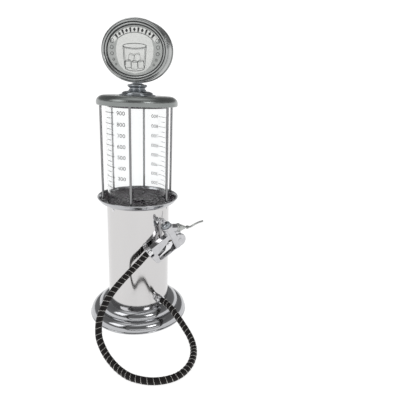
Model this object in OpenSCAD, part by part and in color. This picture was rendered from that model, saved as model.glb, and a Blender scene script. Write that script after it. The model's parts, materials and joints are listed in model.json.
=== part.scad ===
// Table-top drinks dispenser in the shape of an old visible petrol pump.
// Origin: centre of the face that rests on the table. +Z up, the sign faces -Y.
// Angles named azimuth are seen from above: 0 is -Y, and they grow towards +X.

/* [Base] */
// Outer radius of the base
base_r = 80; // [76:1:84]
// Radius of the ledge between the two rounded rings
ledge_r = 66; // [64:0.5:68]
// Height of the ledge
ledge_z = 15.5; // [14:0.5:17]
// Height where the base meets the pedestal
base_h = 28; // [26:1:30]

/* [Pedestal] */
// Outer radius of the pedestal tube
pedestal_r = 49; // [48.5:0.1:49.5]
// Wall of the pedestal tube
pedestal_wall = 1.2; // [1:0.1:1.5]
// Height of the top of the pedestal tube
pedestal_top = 192; // [191:0.5:193]
// Radius of the rim of the dish
dish_r = 63.2; // [62:0.2:65]

/* [Reservoir] */
// Outer radius of the clear tube
tank_r = 47; // [46.6:0.1:47.1]
// Wall of the clear tube
tank_wall = 2; // [1.5:0.1:2.5]
// Height of the top of the clear tube
tank_top = 349; // [348:0.5:349.5]
// Diameter of a tie rod
rod_d = 3.5; // [3:0.1:4]
// Radius of the circle that the tie rods stand on
rod_circle_r = 55.7; // [54.5:0.1:56]
// Azimuth of the first tie rod
rod_azimuth = 11.7; // [0:0.1:59]

/* [Lid and sign] */
// Widest radius of the lid
lid_r = 60; // [59.6:0.1:61]
// Height of the flat top of the lid
lid_top = 355.8; // [355.6:0.1:356.4]
// Width of the oval sign
sign_w = 104; // [100:1:108]
// Height of the oval sign
sign_h = 87; // [85:1:90]
// Thickness of the oval sign
sign_t = 23.5; // [22:0.5:25]
// Height of the centre of the sign
sign_z = 417.5; // [416.5:0.5:419]

/* [Gun and hose] */
// Azimuth that the side of the gun faces
gun_azimuth = 48; // [48:1:48]
// Rise of the handle towards the head
gun_pitch = 29; // [29:1:29]
// Azimuth of the peg that holds the gun
peg_azimuth = 59; // [59:1:59]
// Upward tilt of the peg
peg_tilt = 15; // [15:1:15]
// Azimuth of the hose outlet
outlet_azimuth = 60; // [60:1:60]
// Height of the hose outlet
outlet_z = 40; // [40:1:40]
// Outer diameter of the hose over its wire winding
hose_d = 11.2; // [11:0.1:11.4]

/* [Hidden] */
$fn = 96;
// Overlap that joins two stretches of one solid
lap = 0.05;

// ---- shared helpers ----
function arc(cx, cy, rx, ry, from, to, n) =
    [for (i = [0:n]) let (a = from + (to - from) * i / n) [cx + rx * cos(a), cy + ry * sin(a)]];
function ellipse(w, h, n = 72) =
    [for (i = [0:n - 1]) [w / 2 * cos(360 * i / n), h / 2 * sin(360 * i / n)]];
function dir(azimuth) = [sin(azimuth), -cos(azimuth), 0];

// A ring or disc of rectangular section standing on z0
module ring(r_out, r_in, z0, z1) {
    translate([0, 0, z0])
        difference() {
            cylinder(r = r_out, h = z1 - z0);
            if (r_in > 0)
                translate([0, 0, -1])
                    cylinder(r = r_in, h = z1 - z0 + 2);
        }
}

// Puts a child that points along +Z on a radius of the pedestal
module on_radius(azimuth, r, z, tilt = 0) {
    translate([r * sin(azimuth), -r * cos(azimuth), z])
        rotate([0, 0, azimuth])
            rotate([90 - tilt, 0, 0])
                children();
}

// ---- base ----
pad_t = 0.8;
shell_wall = 1.2;
plate_z = 2;
plate_t = 3;
lip_z = 4.2;

base_outline = concat(
    [[74, pad_t], [78.6, pad_t]],
    arc(base_r - 1.4, 2.2, 1.4, 1.4, -60, 60, 5),
    arc(68, lip_z, base_r - 69.2, ledge_z - lip_z, 0, 90, 9),
    arc(52.5, ledge_z, ledge_r - 52.5, base_h - ledge_z, 0, 80, 8),
    [[pedestal_r + 0.1, base_h + 0.4]]
);
base_inside = concat(
    [[pedestal_r + 0.1, base_h - 1]],
    arc(52.5, ledge_z, ledge_r - 52.5 - shell_wall, base_h - ledge_z - shell_wall, 80, 0, 8),
    arc(68, lip_z, base_r - 69.2 - shell_wall, ledge_z - lip_z - shell_wall, 90, 0, 9),
    [[base_r - 3, 2], [74, 2]]
);

module foot_pad() {
    color("dimgray")
        ring(78, 0, 0, pad_t);
}

module base_shell() {
    color("silver")
        rotate_extrude()
            polygon(concat(base_outline, base_inside));
}

module base_screw_places() {
    for (a = [45:90:315])
        rotate([0, 0, a])
            translate([43, 0, 0])
                children();
}

module base_plate() {
    color("gray")
        difference() {
            ring(base_r - 4, 8, plate_z, plate_z + plate_t);
            base_screw_places()
                cylinder(r = 1.7, h = 20, $fn = 32);
        }
}

module base_screws() {
    color("dimgray")
        base_screw_places() {
            translate([0, 0, pad_t])
                cylinder(r = 2.9, h = plate_z - pad_t, $fn = 32);
            translate([0, 0, plate_z - 0.1])
                cylinder(r = 1.5, h = 11, $fn = 32);
        }
}

module pedestal_foot() {
    foot_r = pedestal_r - pedestal_wall - 0.05;
    color("gray")
        difference() {
            ring(foot_r, 38, plate_z + plate_t, plate_z + plate_t + 10);
            base_screw_places()
                cylinder(r = 1.5, h = 30, $fn = 32);
        }
}

// ---- pedestal ----
screw_azimuths = [-27, 88, 210];
screw_z = 187.5;
peg_r = 1.4;
peg_root = pedestal_r - 2;
eye_rho = 61.1;
eye_z = 175.4;
peg_z0 = eye_z - (eye_rho - pedestal_r) * tan(peg_tilt);

module pedestal_tube() {
    color("gainsboro")
        difference() {
            ring(pedestal_r, pedestal_r - pedestal_wall, plate_z + plate_t, pedestal_top);
            on_radius(outlet_azimuth, pedestal_r - 6, outlet_z)
                cylinder(r = 4.1, h = 12, $fn = 48);
            on_radius(peg_azimuth, pedestal_r - 6, peg_z0 - 6 * tan(peg_tilt), peg_tilt)
                cylinder(r = 1.6, h = 14, $fn = 32);
            for (a = screw_azimuths)
                on_radius(a, pedestal_r - 5, screw_z)
                    cylinder(r = 1.1, h = 10, $fn = 32);
        }
}

module pedestal_screws() {
    color("silver")
        for (a = screw_azimuths)
            on_radius(a, pedestal_r - 4.2, screw_z) {
                cylinder(r = 1, h = 4.6, $fn = 32);
                translate([0, 0, 4.2])
                    cylinder(r1 = 2.1, r2 = 1.5, h = 1.1, $fn = 32);
            }
}

// ---- dish and drain ----
floor_z = 190;
dish_skirt_r = pedestal_r - pedestal_wall - 0.05;
dish_z = 201.6;
drain_r = 5;

module reservoir_dish() {
    color("lightgray")
        difference() {
            rotate_extrude()
                polygon(concat(
                    [[44.6, 181], [dish_skirt_r, 181], [dish_skirt_r, pedestal_top]],
                    [[pedestal_r + 0.3, pedestal_top]],
                    arc(pedestal_r + 0.3, dish_z - 0.4, dish_r - pedestal_r - 2,
                        dish_z - 0.4 - pedestal_top, -90, -24, 6),
                    arc(dish_r - 1.1, dish_z, 1.1, 1.1, -60, 200, 9),
                    arc(pedestal_r + 1.2, dish_z + 0.4, dish_r - pedestal_r - 4.4,
                        dish_z - 1 - pedestal_top, -30, -90, 6),
                    [[48, 194.2], [48, floor_z + 1.2], [drain_r + 0.3, floor_z + 1.2]],
                    [[drain_r + 0.3, floor_z], [44.6, floor_z]]
                ));
            at_rods()
                translate([0, 0, 185])
                    cylinder(r = rod_d / 2, h = 30, $fn = 32);
            for (a = screw_azimuths)
                on_radius(a, pedestal_r - 6, screw_z)
                    cylinder(r = 1, h = 6, $fn = 32);
        }
}

tank_floor_z = floor_z + 1.2;
tank_in_r = tank_r - tank_wall;

module reservoir_floor() {
    color([0.3, 0.26, 0.3])
        difference() {
            ring(tank_in_r - 0.3, drain_r + 0.05, tank_floor_z, tank_floor_z + 3.2);
            for (r = [14:7:35])
                ring(r + 1.4, r - 1.4, tank_floor_z + 2.4, tank_floor_z + 4);
            translate([0, 0, tank_floor_z + 1.6])
                rotate_extrude()
                    translate([tank_in_r - 0.86, 0])
                        circle(r = 0.86, $fn = 32);
        }
}

module floor_seal() {
    color("black")
        translate([0, 0, tank_floor_z + 1.6])
            rotate_extrude()
                translate([tank_in_r - 0.86, 0])
                    circle(r = 0.84, $fn = 32);
}

module tank_base_seal() {
    color("white")
        ring(tank_r + 0.4, tank_in_r - 0.1, tank_floor_z, tank_floor_z + 1);
}

drain_top = tank_floor_z + 3.2 + 1.4;

module drain_fitting() {
    color("goldenrod")
        difference() {
            union() {
                ring(drain_r + 3.4, 0, drain_top - 1.4 + 0.02, drain_top + 0.4);
                ring(drain_r, 0, 176, drain_top);
                ring(3.6, 0, 160, 176);
                for (z = [161:4:169])
                    translate([0, 0, z])
                        cylinder(r1 = 3.4, r2 = 4.1, h = 2.6, $fn = 48);
            }
            translate([0, 0, 150])
                cylinder(r = 2.4, h = 60, $fn = 48);
        }
}

module drain_washer() {
    color("black")
        ring(drain_r + 3.6, drain_r + 0.05, floor_z - 1.4, floor_z);
}

module drain_nut() {
    color("goldenrod")
        difference() {
            translate([0, 0, floor_z - 6])
                cylinder(r = drain_r + 3.6, h = 4.6, $fn = 6);
            translate([0, 0, floor_z - 8])
                cylinder(r = drain_r, h = 10, $fn = 48);
        }
}

// ---- inner tube and outlet ----
inner_r = 5;
inner_foot = outlet_z + 8;
barb_top = 174;

module inner_tube() {
    color("whitesmoke")
        difference() {
            ring(inner_r, 3.62, inner_foot, barb_top);
            translate([0, 0, 158])
                cylinder(r = 4.12, h = 20, $fn = 48);
            translate([0, 0, inner_foot - 1])
                cylinder(r = 4.12, h = 14, $fn = 48);
        }
}

outlet_face = 60;
elbow_r = 6.4;

// Elbow under the inner tube, with a stem that passes through the pedestal's wall
module outlet_fitting() {
    color("silver")
        difference() {
            union() {
                ring(elbow_r, 0, outlet_z - 5, inner_foot - 0.5);
                ring(3.6, 0, outlet_z, inner_foot + 11);
                for (z = [1:4:9])
                    translate([0, 0, inner_foot + z])
                        cylinder(r1 = 4.1, r2 = 3.6, h = 2, $fn = 48);
                on_radius(outlet_azimuth, 0, outlet_z) {
                    cylinder(r = 4, h = 52.5, $fn = 48);
                    translate([0, 0, pedestal_r + 0.5])
                        cylinder(r = 6.4, h = 3.6, $fn = 6);
                    translate([0, 0, 51])
                        cylinder(r = 3.4, h = outlet_face - 51, $fn = 48);
                }
            }
            translate([0, 0, outlet_z - 1.5])
                cylinder(r = 2.2, h = 40, $fn = 48);
            on_radius(outlet_azimuth, 1, outlet_z)
                cylinder(r = 1.8, h = 80, $fn = 48);
        }
}

module outlet_nut() {
    color("silver")
        on_radius(outlet_azimuth, 44.2, outlet_z)
            difference() {
                cylinder(r = 6.6, h = 3.2, $fn = 6);
                translate([0, 0, -1])
                    cylinder(r = 4, h = 8, $fn = 48);
            }
}

ferrule_start = 53.2;

module outlet_ferrule() {
    color("silver")
        on_radius(outlet_azimuth, ferrule_start, outlet_z)
            difference() {
                union() {
                    cylinder(r = 6, h = outlet_face - ferrule_start, $fn = 48);
                    translate([0, 0, 1.6])
                        cylinder(r = 6.5, h = 1.6, $fn = 48);
                }
                translate([0, 0, -1])
                    cylinder(r = 3.45, h = 20, $fn = 48);
            }
}

// ---- hose ----
// Points along the middle of the hose, from the outlet to the gun
hose_route = [
    [60, -34.6, 39.5], [71, -43, 37.5], [82, -51, 32.5], [92, -57.5, 26], [101, -63, 19],
    [110, -70, 12.5], [117, -79.5, 8.5], [122, -91, 6], [125, -106, 5.8], [125, -122, 5.8],
    [121, -138, 5.8], [113, -151, 5.8], [101, -160.5, 5.8], [87, -166.5, 5.8], [72, -168.5, 5.8],
    [56, -167, 5.8], [41, -161, 5.8], [27, -154, 8], [14, -147.5, 14], [5, -143, 23],
    [-2, -138, 33], [-5.5, -132, 45], [-6.5, -125.5, 56], [-5, -117.5, 67], [-2, -108.5, 77],
    [3, -97.5, 87], [9, -87, 95.5], [15, -77.5, 103], [21, -68.8, 110], [27, -60.6, 117]
];
hose_sides = 12;

ring_x = 42.1;
ring_y = 28.6;
ferrule_x = -4;
ferrule_y = -1;
gun_eye = eye_rho * dir(peg_azimuth) + [0, 0, eye_z];
gun_along = [cos(gun_azimuth) * cos(gun_pitch), sin(gun_azimuth) * cos(gun_pitch), sin(gun_pitch)];
gun_up = [-cos(gun_azimuth) * sin(gun_pitch), -sin(gun_azimuth) * sin(gun_pitch), cos(gun_pitch)];
function gun_point(x, y) = gun_eye + (x - ring_x) * gun_along + (y - ring_y) * gun_up;

hose_start = outlet_face * dir(outlet_azimuth) + [0, 0, outlet_z];
hose_end = gun_point(ferrule_x, ferrule_y);
hose_path = concat([hose_start], hose_route, [hose_end]);

function unit(v) = v / norm(v);
function tangent(i) =
    i == 0 ? dir(outlet_azimuth)
    : i == len(hose_path) - 1 ? gun_along
    : unit(hose_path[i + 1] - hose_path[i - 1]);
function hose_ring(i) =
    let (t = tangent(i), s = unit(cross([0, 0, 1], t)), u = cross(t, s))
    [for (k = [0:hose_sides - 1])
        let (a = 360 * k / hose_sides)
        hose_path[i] + hose_d / 2 * (cos(a) * s + sin(a) * u)];

module hose() {
    n = len(hose_path);
    points = [for (i = [0:n - 1]) each hose_ring(i)];
    walls = [for (i = [0:n - 2]) for (k = [0:hose_sides - 1])
        let (a = i * hose_sides + k, b = i * hose_sides + (k + 1) % hose_sides)
        [a, a + hose_sides, b + hose_sides, b]];
    near_end = [for (k = [0:hose_sides - 1]) k];
    far_end = [for (k = [hose_sides - 1:-1:0]) (n - 1) * hose_sides + k];
    color([0.1, 0.1, 0.1])
        polyhedron(points = points, faces = concat([near_end], walls, [far_end]));
}

// ---- reservoir ----
module reservoir_tube() {
    color([0.85, 0.92, 0.95, 0.35])
        ring(tank_r, tank_in_r, tank_floor_z + 1, tank_top);
}

rod_foot_z = 194.6;
rod_nut_z = 199.2;
crown_z = 342;
crown_h = 4.6;
rod_grip = 3.6;

module at_rods() {
    for (k = [0:5])
        rotate([0, 0, rod_azimuth + 60 * k])
            translate([0, -rod_circle_r, 0])
                children();
}

module tie_rods() {
    color("silver")
        at_rods()
            translate([0, 0, rod_foot_z])
                cylinder(r = rod_d / 2, h = crown_z + rod_grip - rod_foot_z, $fn = 48);
}

module rod_nuts() {
    color("silver")
        at_rods()
            translate([0, 0, rod_nut_z])
                difference() {
                    cylinder(r = 2.7, h = 2.2, $fn = 6);
                    translate([0, 0, -1])
                        cylinder(r = rod_d / 2, h = 6, $fn = 48);
                }
}

module crown_ring() {
    color("gray")
        difference() {
            ring(58, tank_r + 0.4, crown_z, crown_z + crown_h);
            at_rods()
                translate([0, 0, crown_z - 1])
                    cylinder(r = rod_d / 2, h = 1 + rod_grip, $fn = 48);
        }
}

// ---- hanger peg ----
peg_len = eye_rho - pedestal_r + 6;

module hanger_peg() {
    color("silver")
        on_radius(peg_azimuth, pedestal_r, peg_z0, peg_tilt) {
            translate([0, 0, -6])
                cylinder(r = peg_r, h = 6 + peg_len, $fn = 48);
            translate([0, 0, peg_len])
                sphere(r = peg_r, $fn = 48);
            translate([0, 0, 1.2])
                cylinder(r1 = 4, r2 = 2.4, h = 1.6, $fn = 48);
        }
}

module hanger_nut() {
    color("silver")
        on_radius(peg_azimuth, pedestal_r, peg_z0, peg_tilt)
            translate([0, 0, -4.6])
                difference() {
                    cylinder(r = 3, h = 2.2, $fn = 6);
                    translate([0, 0, -1])
                        cylinder(r = peg_r, h = 6, $fn = 48);
                }
}

// ---- lid ----
lid_under = 341.6;
lid_skirt_r = 58.5;
lid_wall = 1.4;
shoulder_r = 12;
shoulder_h = 9.5;

module lid_cap() {
    color("darkgray")
        rotate_extrude()
            polygon(concat(
                [[lid_skirt_r, lid_under]],
                arc(lid_r - 1.7, lid_under + 2.6, 1.7, 2.6, -70, 0, 4),
                arc(lid_r - shoulder_r, lid_top - shoulder_h, shoulder_r, shoulder_h, 0, 90, 12),
                [[3.1, lid_top], [3.1, lid_top - lid_wall]],
                arc(lid_r - shoulder_r, lid_top - shoulder_h,
                    shoulder_r - lid_wall, shoulder_h - lid_wall, 90, 0, 12)
            ));
}

plug_z = 339;

module lid_plug() {
    color("whitesmoke")
        difference() {
            union() {
                ring(tank_in_r - 0.5, 0, plug_z, tank_top + 1);
                ring(lid_r - shoulder_r - 0.4, 0, tank_top + 0.1, lid_top - lid_wall);
            }
            ring(tank_in_r - 3, 8, plug_z - 1, tank_top);
            translate([0, 0, plug_z - 1])
                cylinder(r = 3.1, h = 30, $fn = 48);
            translate([0, 0, plug_z - 1])
                cylinder(r = 6, h = lid_top - 6.8 - plug_z + 1, $fn = 48);
            translate([0, 0, 344])
                rotate_extrude()
                    translate([tank_in_r - 0.8, 0])
                        circle(r = 0.74, $fn = 32);
        }
}

module lid_gasket() {
    color("white")
        translate([0, 0, 344])
            rotate_extrude()
                translate([tank_in_r - 0.8, 0])
                    circle(r = 0.72, $fn = 32);
}

// ---- foot, neck and sign ----
foot_top = 362.6;

module finial_foot() {
    color("gray")
        rotate_extrude()
            polygon(concat(
                [[3.1, lid_top], [27, lid_top], [27.3, lid_top + 0.8], [26.8, lid_top + 1.8]],
                [[25, lid_top + 2]],
                arc(13, lid_top + 2, 10.6, 4.8, 0, 80, 7),
                [[14, foot_top], [3.1, foot_top]]
            ));
}

spool_top = 372.2;

module neck_spool() {
    color("gray")
        difference() {
            rotate_extrude()
                polygon(concat(
                    [[3.1, foot_top], [13.4, foot_top], [13.6, foot_top + 0.6]],
                    arc(14.6, foot_top + 3.2, 3, 2.4, 230, 130, 6),
                    arc(12.6, foot_top + 7.2, 2.2, 1.9, -70, 80, 7),
                    [[7.2, spool_top + 0.6], [7.2, spool_top + 3], [3.1, spool_top + 3]]
                ));
            translate([0, sign_t, sign_z])
                rotate([90, 0, 0])
                    linear_extrude(2 * sign_t)
                        polygon(ellipse(sign_w - 1.9, sign_h - 1.9, 96));
        }
}

module neck_bolt() {
    color("dimgray")
        translate([0, 0, lid_top - 9.2]) {
            cylinder(r = 2.95, h = 33.5, $fn = 48);
            cylinder(r = 5.4, h = 2.4, $fn = 6);
        }
}

// One oval slab of the sign between two depths, counted from its middle plane to the front
module oval(w, h, from, to) {
    translate([0, -from, sign_z])
        rotate([90, 0, 0])
            linear_extrude(to - from)
                polygon(ellipse(w, h));
}

core_t = 15;
face_w = sign_w - 17.6;
face_h = sign_h - 17;

module sign_housing() {
    color("silver")
        difference() {
            oval(sign_w - 2, sign_h - 2, -core_t / 2, core_t / 2);
            oval(face_w - 2, face_h - 2, -core_t, core_t);
            translate([0, 0, sign_z - sign_h / 2 - 2])
                cylinder(r = 2.95, h = 16, $fn = 48);
        }
}

// A stepped bead on one side of the sign; side is 1 for the front and -1 for the back
module sign_bezel(side) {
    rim_t = (sign_t - core_t) / 2;
    rotate([0, 0, side > 0 ? 0 : 180])
        difference() {
            union() {
                oval(sign_w, sign_h, core_t / 2, core_t / 2 + rim_t - 1.4);
                oval(sign_w - 4, sign_h - 4, core_t / 2, core_t / 2 + rim_t);
            }
            oval(face_w, face_h, core_t / 2 - 1, core_t);
            oval(face_w + 6, face_h + 6, core_t / 2 + rim_t - 1.4, core_t);
        }
}

module sign_bezel_front() {
    color("silver")
        sign_bezel(1);
}

module sign_bezel_back() {
    color("silver")
        sign_bezel(-1);
}

face_t = 1.6;

module sign_face_front() {
    color("gainsboro")
        oval(face_w - 0.2, face_h - 0.2, core_t / 2, core_t / 2 + face_t);
}

module sign_face_back() {
    color("gainsboro")
        rotate([0, 0, 180])
            oval(face_w - 0.2, face_h - 0.2, core_t / 2, core_t / 2 + face_t);
}

// Raised outline of a tumbler on the front face
module sign_emblem() {
    color("lightgray")
        translate([0, -core_t / 2 - face_t, sign_z - 3])
            rotate([90, 0, 0])
                linear_extrude(0.9)
                    difference() {
                        polygon([[-13.5, -20], [13.5, -20], [16, 16], [-16, 16]]);
                        polygon([[-12, -17.5], [12, -17.5], [14.4, 14.6], [-14.4, 14.6]]);
                    }
}

// ---- gun ----
// The gun is drawn on its side: X along the handle to the head, Y up to the cap, Z to the viewer
module gun_frame() {
    translate(gun_eye)
        rotate([0, 0, gun_azimuth])
            rotate([90, 0, 0])
                rotate([0, 0, gun_pitch])
                    translate([-ring_x, -ring_y, 0])
                        children();
}

// A cylinder along +Y of the gun
module up_cyl(x, y0, y1, r, r_top = -1, sides = 64) {
    translate([x, y0, 0])
        rotate([-90, 0, 0])
            cylinder(r1 = r, r2 = r_top < 0 ? r : r_top, h = y1 - y0, $fn = sides);
}

// A cylinder along +X of the gun
module along_cyl(x0, x1, y, r, sides = 64) {
    translate([x0, y, 0])
        rotate([0, 90, 0])
            cylinder(r = r, h = x1 - x0, $fn = sides);
}

stem_x = 43;
head_r = 8.6;
grip_half = 5.6;
head_half = 7.6;
pivot_x = 31;
pivot_y = -9;
spout_x = 55.2;
spout_y = 4.2;
spout_pitch = -36;

grip_outline = concat(
    [[3.5, 4.5], [stem_x, 4.5], [stem_x, -24.4]],
    arc(5, -19.4, 5, 5, 270, 190, 5),
    [[-2.4, -8], [3.5, -8]]
);
finger_gap = concat(
    [[7.5, -11.2], [30, -5], [33, -3], [37, -3.4], [stem_x, -8], [stem_x, -21], [37, -22.2]],
    arc(9.8, -19.9, 2.3, 2.3, 270, 180, 4)
);

// Axis of the spout's first stretch, drawn along +Z of the child
module spout_frame() {
    translate([spout_x, spout_y, 0])
        rotate([0, 0, spout_pitch])
            rotate([0, 90, 0])
                children();
}

module gun_body() {
    color("silver")
        gun_frame()
            difference() {
                union() {
                    translate([0, 0, -grip_half])
                        linear_extrude(2 * grip_half)
                            difference() {
                                polygon(grip_outline);
                                polygon(finger_gap);
                            }
                    up_cyl(stem_x, -23.6, 17, head_r);
                    translate([50, -14.2, -head_half])
                        cylinder(r = 10.2, h = 2 * head_half, $fn = 64);
                    spout_frame()
                        translate([0, 0, -12])
                            cylinder(r = 6.6, h = 12, $fn = 64);
                    translate([27, -12, -2.6])
                        linear_extrude(5.2)
                            polygon([[0, 3], [1.5, 0], [6.5, 0], [8, 9.5], [1, 8]]);
                }
                translate([0, 0, -5.4])
                    linear_extrude(10.8)
                        polygon([[34.6, -3.8], [50, -5.2], [51.4, -12], [49, -20], [34.6, -21.4]]);
                along_cyl(0, stem_x, ferrule_y, 2);
                along_cyl(0, 12, ferrule_y, 3);
                up_cyl(stem_x, -4.4, 3.6, 4.4);
                up_cyl(stem_x, 3, 18, 5);
                up_cyl(stem_x, -8, 0, 1.55);
                spout_frame()
                    translate([0, 0, -9])
                        cylinder(r = 2.2, h = 10, $fn = 48);
                translate([pivot_x, pivot_y, -10])
                    cylinder(r = 1.25, h = 20, $fn = 48);
            }
}

module gun_ferrule() {
    color("silver")
        gun_frame()
            difference() {
                union() {
                    along_cyl(ferrule_x, 3.5, ferrule_y, 6.2);
                    along_cyl(ferrule_x + 1, ferrule_x + 2.6, ferrule_y, 6.8);
                }
                along_cyl(ferrule_x - 1, 4, ferrule_y, 3.05);
            }
}

module hose_barb() {
    color("goldenrod")
        gun_frame()
            difference() {
                along_cyl(ferrule_x, 12, ferrule_y, 3);
                along_cyl(ferrule_x - 1, 13, ferrule_y, 2);
            }
}

module valve_seat() {
    color("goldenrod")
        gun_frame()
            difference() {
                up_cyl(stem_x, 3.6, 5.4, 5);
                up_cyl(stem_x, 3, 6, 2.6);
            }
}

cap_top = 23;

module valve_cap() {
    color("silver")
        gun_frame() {
            up_cyl(stem_x, 12.6, 17, 4.95);
            up_cyl(stem_x, 17, cap_top - 1.8, 7.4);
            up_cyl(stem_x, cap_top - 1.8, cap_top, 7.4, 4.6);
        }
}

module cap_seal() {
    color("black")
        gun_frame()
            difference() {
                up_cyl(stem_x, 11.8, 12.6, 4.95);
                up_cyl(stem_x, 11, 13, 3.4);
            }
}

eye_hole_r = 2.35;

module hang_ring() {
    color("silver")
        gun_frame()
            difference() {
                union() {
                    up_cyl(ring_x, cap_top, ring_y - 2.8, 1.6);
                    translate([ring_x, ring_y, -1.3])
                        cylinder(r = 4.1, h = 2.6, $fn = 64);
                }
                translate([ring_x, ring_y, -2])
                    cylinder(r = eye_hole_r, h = 4, $fn = 64);
            }
}

cone_len = 16.5;
cone_flat = 4;

module spout_cone() {
    color("darkgray")
        gun_frame()
            spout_frame()
                difference() {
                    union() {
                        cylinder(r1 = 6.4, r2 = 7.3, h = cone_flat, $fn = 64);
                        translate([0, 0, cone_flat])
                            cylinder(r1 = 7.3, r2 = 2.4, h = cone_len - cone_flat, $fn = 64);
                    }
                    translate([0, 0, -1])
                        cylinder(r = 1.62, h = cone_len + 2, $fn = 48);
                }
}

tube_r = 1.6;
tube_start = 24.5;
tube_bend = 52;
tube_turn = 20;
tube_mid = 4;

// A straight start through the cone and the nut, a bend upwards, and a long bend to the tip
module spout_tube() {
    color("darkgray")
        gun_frame()
            spout_frame()
                rotate([0, 0, -90])
                    difference() {
                        union() {
                            translate([0, 0, 4])
                                cylinder(r = tube_r, h = tube_start - 4 + lap, $fn = 48);
                            translate([0, 0, tube_start])
                                spout_bends(tube_r);
                        }
                        translate([0, 0, 3])
                            cylinder(r = 1.1, h = tube_start - 2.8, $fn = 48);
                        translate([0, 0, tube_start])
                            spout_bends(1.1);
                    }
}

lift_r = 10;
lift_turn = 28;

module spout_bends(r) {
    translate([-lift_r, 0, 0])
        rotate([90, 0, 0])
            rotate_extrude(angle = lift_turn)
                translate([lift_r, 0])
                    circle(r = r, $fn = 48);
    translate([-lift_r, 0, 0])
        rotate([0, -lift_turn, 0])
            translate([lift_r, 0, 0]) {
                translate([0, 0, -lap])
                    cylinder(r = r, h = tube_mid + 2 * lap, $fn = 48);
                translate([tube_bend, 0, tube_mid])
                    rotate([90, 0, 0])
                        rotate([0, 0, 180 - tube_turn])
                            rotate_extrude(angle = tube_turn)
                                translate([tube_bend, 0])
                                    circle(r = r, $fn = 48);
            }
}

nut_start = 19.8;

module spout_nut() {
    color("darkgray")
        gun_frame()
            spout_frame()
                translate([0, 0, nut_start])
                    difference() {
                        union() {
                            cylinder(r = 2.9, h = 3, $fn = 6);
                            translate([0, 0, 3])
                                cylinder(r = 2.2, h = 1.4, $fn = 48);
                        }
                        translate([0, 0, -1])
                            cylinder(r = 1.62, h = 8, $fn = 48);
                    }
}

module trigger_pin() {
    color("silver")
        gun_frame()
            translate([pivot_x, pivot_y, -5.2]) {
                cylinder(r = 1.25, h = 10.4, $fn = 48);
                translate([0, 0, -0.8])
                    cylinder(r = 2, h = 0.8, $fn = 48);
                translate([0, 0, 10.4])
                    cylinder(r = 2, h = 0.8, $fn = 48);
            }
}

// ---- trigger ----
cheek_in = 3.1;
cheek_out = 4.4;
roller_x = stem_x;
roller_r = 1.4;

module cheek_outline() {
    polygon([
        [9.2, -17], [31, -17], [36, -13.4], [roller_x + 1, -10.6], [roller_x + 1, -7.4],
        [36, -7], [33, -5.9], [29, -5.9], [26, -9], [22, -13.4], [9.2, -15.6]
    ]);
}

module trigger() {
    color("gainsboro")
        gun_frame()
            difference() {
                union() {
                    for (side = [-1, 1])
                        translate([0, 0, side > 0 ? cheek_in : -cheek_out])
                            linear_extrude(cheek_out - cheek_in)
                                cheek_outline();
                    translate([9.2, -17.4, -cheek_out])
                        cube([21.8, 1, 2 * cheek_out]);
                    translate([roller_x, pivot_y, -cheek_out])
                        cylinder(r = roller_r, h = 2 * cheek_out, $fn = 48);
                }
                translate([pivot_x, pivot_y, -8])
                    cylinder(r = 1.3, h = 16, $fn = 48);
            }
}

// ---- valve ----
hook_half = 2.7;

module plunger() {
    color("goldenrod")
        gun_frame() {
            difference() {
                translate([stem_x - 3.4, pivot_y - 3.4, -hook_half])
                    cube([7.4, 6.4, 2 * hook_half]);
                translate([stem_x - 5, pivot_y - roller_r - 0.25, -hook_half - 1])
                    cube([5 + roller_r + 0.3, 2 * roller_r + 0.5, 2 * hook_half + 2]);
            }
            up_cyl(stem_x, pivot_y + 2.9, 2.2, 1.5);
            up_cyl(stem_x, 0.9, 2.2, 3.4);
        }
}

module valve_washer() {
    color("black")
        gun_frame()
            up_cyl(stem_x, 2.2, 3.55, 3.6);
}

spring_turns = 4;
spring_r = 2.6;
wire_r = 0.32;
spring_steps = 20;
spring_sides = 6;
spring_y = -4.05;
spring_rise = 4.2;

// Helix along +Y of the gun, as one closed wire
module valve_spring() {
    n = spring_turns * spring_steps;
    function section(i) =
        let (a = 360 * i / spring_steps)
        [for (k = [0:spring_sides - 1])
            let (b = 360 * k / spring_sides, r = spring_r + wire_r * cos(b))
            [stem_x + r * cos(a), spring_y + spring_rise * i / n + wire_r * sin(b), r * sin(a)]];
    points = [for (i = [0:n]) each section(i)];
    walls = [for (i = [0:n - 1]) for (k = [0:spring_sides - 1])
        let (a = i * spring_sides + k, b = i * spring_sides + (k + 1) % spring_sides)
        [a, b, b + spring_sides, a + spring_sides]];
    near_end = [for (k = [spring_sides - 1:-1:0]) k];
    far_end = [for (k = [0:spring_sides - 1]) n * spring_sides + k];
    color("silver")
        gun_frame()
            polyhedron(points = points, faces = concat([near_end], walls, [far_end]));
}

// ---- the assembly ----
foot_pad();
base_shell();
base_plate();
base_screws();
pedestal_foot();
pedestal_tube();
pedestal_screws();
reservoir_dish();
reservoir_floor();
floor_seal();
tank_base_seal();
drain_fitting();
drain_washer();
drain_nut();
inner_tube();
outlet_fitting();
outlet_nut();
outlet_ferrule();
hose();
reservoir_tube();
tie_rods();
rod_nuts();
crown_ring();
hanger_peg();
hanger_nut();
lid_cap();
lid_plug();
lid_gasket();
finial_foot();
neck_spool();
neck_bolt();
sign_housing();
sign_bezel_front();
sign_bezel_back();
sign_face_front();
sign_face_back();
sign_emblem();
gun_body();
gun_ferrule();
hose_barb();
valve_seat();
valve_cap();
cap_seal();
hang_ring();
spout_cone();
spout_nut();
spout_tube();
trigger_pin();
trigger();
plunger();
valve_washer();
valve_spring();
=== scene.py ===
import json
import math

import bmesh
import bpy
from mathutils import Matrix, Vector

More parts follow.
